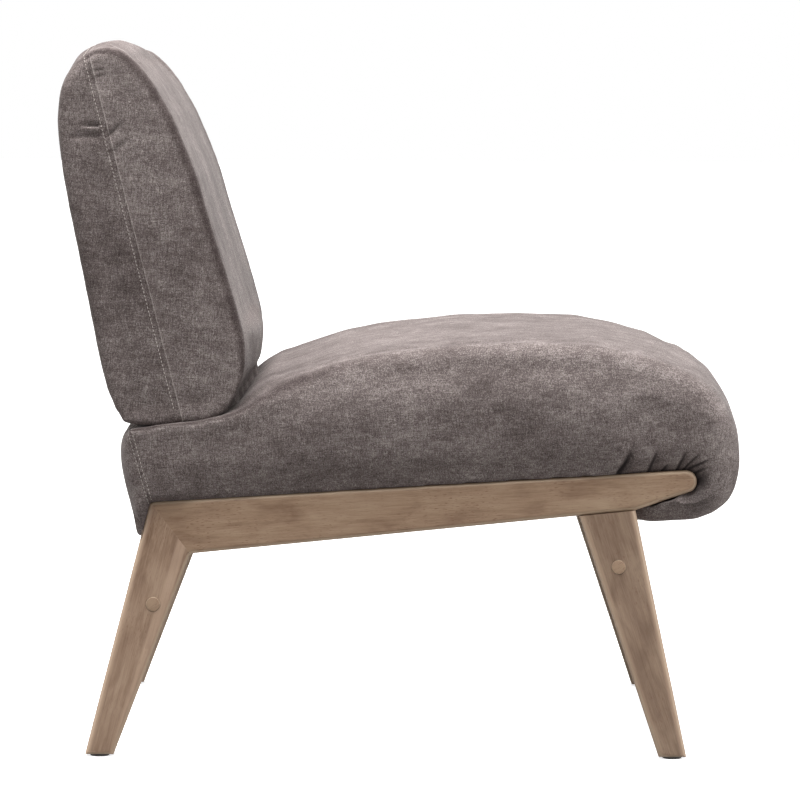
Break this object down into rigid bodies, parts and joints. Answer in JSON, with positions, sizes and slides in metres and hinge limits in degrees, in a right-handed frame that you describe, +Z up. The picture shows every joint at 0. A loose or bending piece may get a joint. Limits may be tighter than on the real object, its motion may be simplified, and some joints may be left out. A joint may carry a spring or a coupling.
{
  "type": "slipper chair",
  "caption": "Armless slipper chair: a padded seat with a rolled front edge and a thick leaning back, on raked wooden side frames joined by stretchers.",
  "frame": {"origin": "on the floor, under the centre of the chair's box", "axes": "+X the way the sitter faces, +Y towards the sitter's left, +Z up"},
  "size_m": [0.775, 0.632, 0.798],
  "materials": {
    "oak": "weathered, satin",
    "plug": "weathered, satin",
    "softwood": "sawn, bare",
    "plywood": "sawn, bare",
    "chenille": "woven chenille with a soft sheen",
    "foam": "open-cell foam, matt",
    "cambric": "non-woven, matt",
    "webbing": "woven elastic, matt",
    "steel": "zinc plated",
    "nylon": "moulded"
  },
  "bodies": {
    "root": {"side_rail_left": "oak", "rear_leg_left": "oak", "front_leg_left": "oak", "rear_joint_tenon_left": "softwood", "front_joint_tenon_left": "softwood", "rear_stretcher_bolt_left": "steel", "rear_barrel_nut_left": "steel", "seat_rear_bolt_left": "steel", "rear_bolt_plug_left": "plug", "rear_foot_glide_left": "nylon", "front_stretcher_bolt_left": "steel", "front_barrel_nut_left": "steel", "seat_front_bolt_left": "steel", "front_bolt_plug_left": "plug", "front_foot_glide_left": "nylon", "seat_side_rail_left": "softwood", "seat_corner_block_left": "softwood", "back_post_left": "softwood", "post_rear_bolt_left": "steel", "post_side_bolt_left": "steel", "side_rail_right": "oak", "rear_leg_right": "oak", "front_leg_right": "oak", "rear_joint_tenon_right": "softwood", "front_joint_tenon_right": "softwood", "rear_stretcher_bolt_right": "steel", "rear_barrel_nut_right": "steel", "seat_rear_bolt_right": "steel", "rear_bolt_plug_right": "plug", "rear_foot_glide_right": "nylon", "front_stretcher_bolt_right": "steel", "front_barrel_nut_right": "steel", "seat_front_bolt_right": "steel", "front_bolt_plug_right": "plug", "front_foot_glide_right": "nylon", "seat_side_rail_right": "softwood", "seat_corner_block_right": "softwood", "back_post_right": "softwood", "post_rear_bolt_right": "steel", "post_side_bolt_right": "steel", "rear_stretcher": "oak", "front_stretcher": "oak", "seat_front_rail": "softwood", "seat_rear_rail": "softwood", "back_upper_rail": "softwood", "back_lower_rail": "softwood", "back_panel": "plywood", "long_webbing_1": "webbing", "long_webbing_2": "webbing", "long_webbing_3": "webbing", "cross_webbing_1": "webbing", "cross_webbing_2": "webbing", "seat_foam": "foam", "back_foam": "foam", "seat_cover": "chenille", "seat_cover_rear": "chenille", "back_cover": "chenille", "back_cover_rear": "chenille", "dust_cover": "cambric"}
  },
  "joints": []
}
